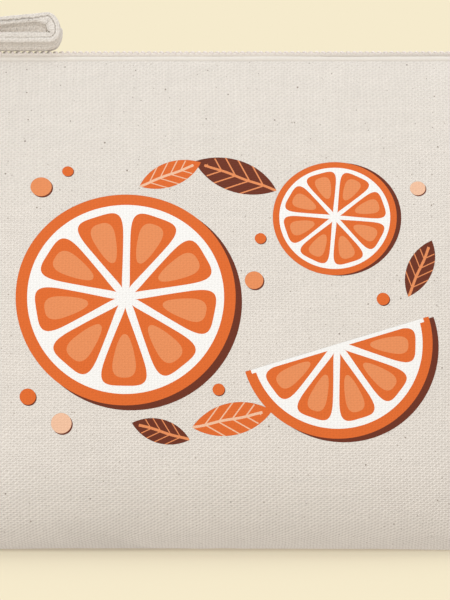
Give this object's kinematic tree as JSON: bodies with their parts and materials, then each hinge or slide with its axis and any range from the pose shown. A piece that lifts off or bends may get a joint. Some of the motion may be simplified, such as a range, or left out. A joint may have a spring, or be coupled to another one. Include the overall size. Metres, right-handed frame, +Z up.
{
  "type": "canvas zipper pouch",
  "caption": "Zipped natural-canvas pouch with a boxed bottom, stuffed and standing upright, its nylon zip closed, with a folded canvas loop as the zip pull.",
  "frame": {"origin": "middle of the base, on the surface the pouch stands on", "axes": "+Z up; +X along the zip, from its closed end to its other end; -Y towards the front panel"},
  "size_m": [0.248, 0.096, 0.1533],
  "materials": {
    "canvas": "matte natural cotton canvas",
    "zip_tape": "soft sheen woven tape",
    "zip_coil": "satin nylon",
    "zip_metal": "satin nickel plate"
  },
  "bodies": {
    "pouch": {"front_panel": "canvas", "back_panel": "canvas", "end_tab_left": "canvas", "end_tab_right": "canvas", "zip_tape_front": "zip_tape", "zip_tape_back": "zip_tape", "coil_front": "zip_coil", "coil_back": "zip_coil", "stop_left_front": "zip_metal", "stop_left_back": "zip_metal", "stop_right": "zip_metal"},
    "slider": {"slider": "zip_metal"},
    "pull": {"pull_ring": "zip_metal", "pull_strap": "canvas"}
  },
  "joints": [
    {"name": "zip_slide", "type": "slide", "parent": "pouch", "child": "slider", "axis": [1, 0, 0], "range_m": [0, 0.189]},
    {"name": "pull_swing", "type": "hinge", "parent": "slider", "child": "pull", "pos_m": [-0.0947, 0, 0.145], "axis": [0, -1, 0], "range_deg": [0, 160]}
  ]
}
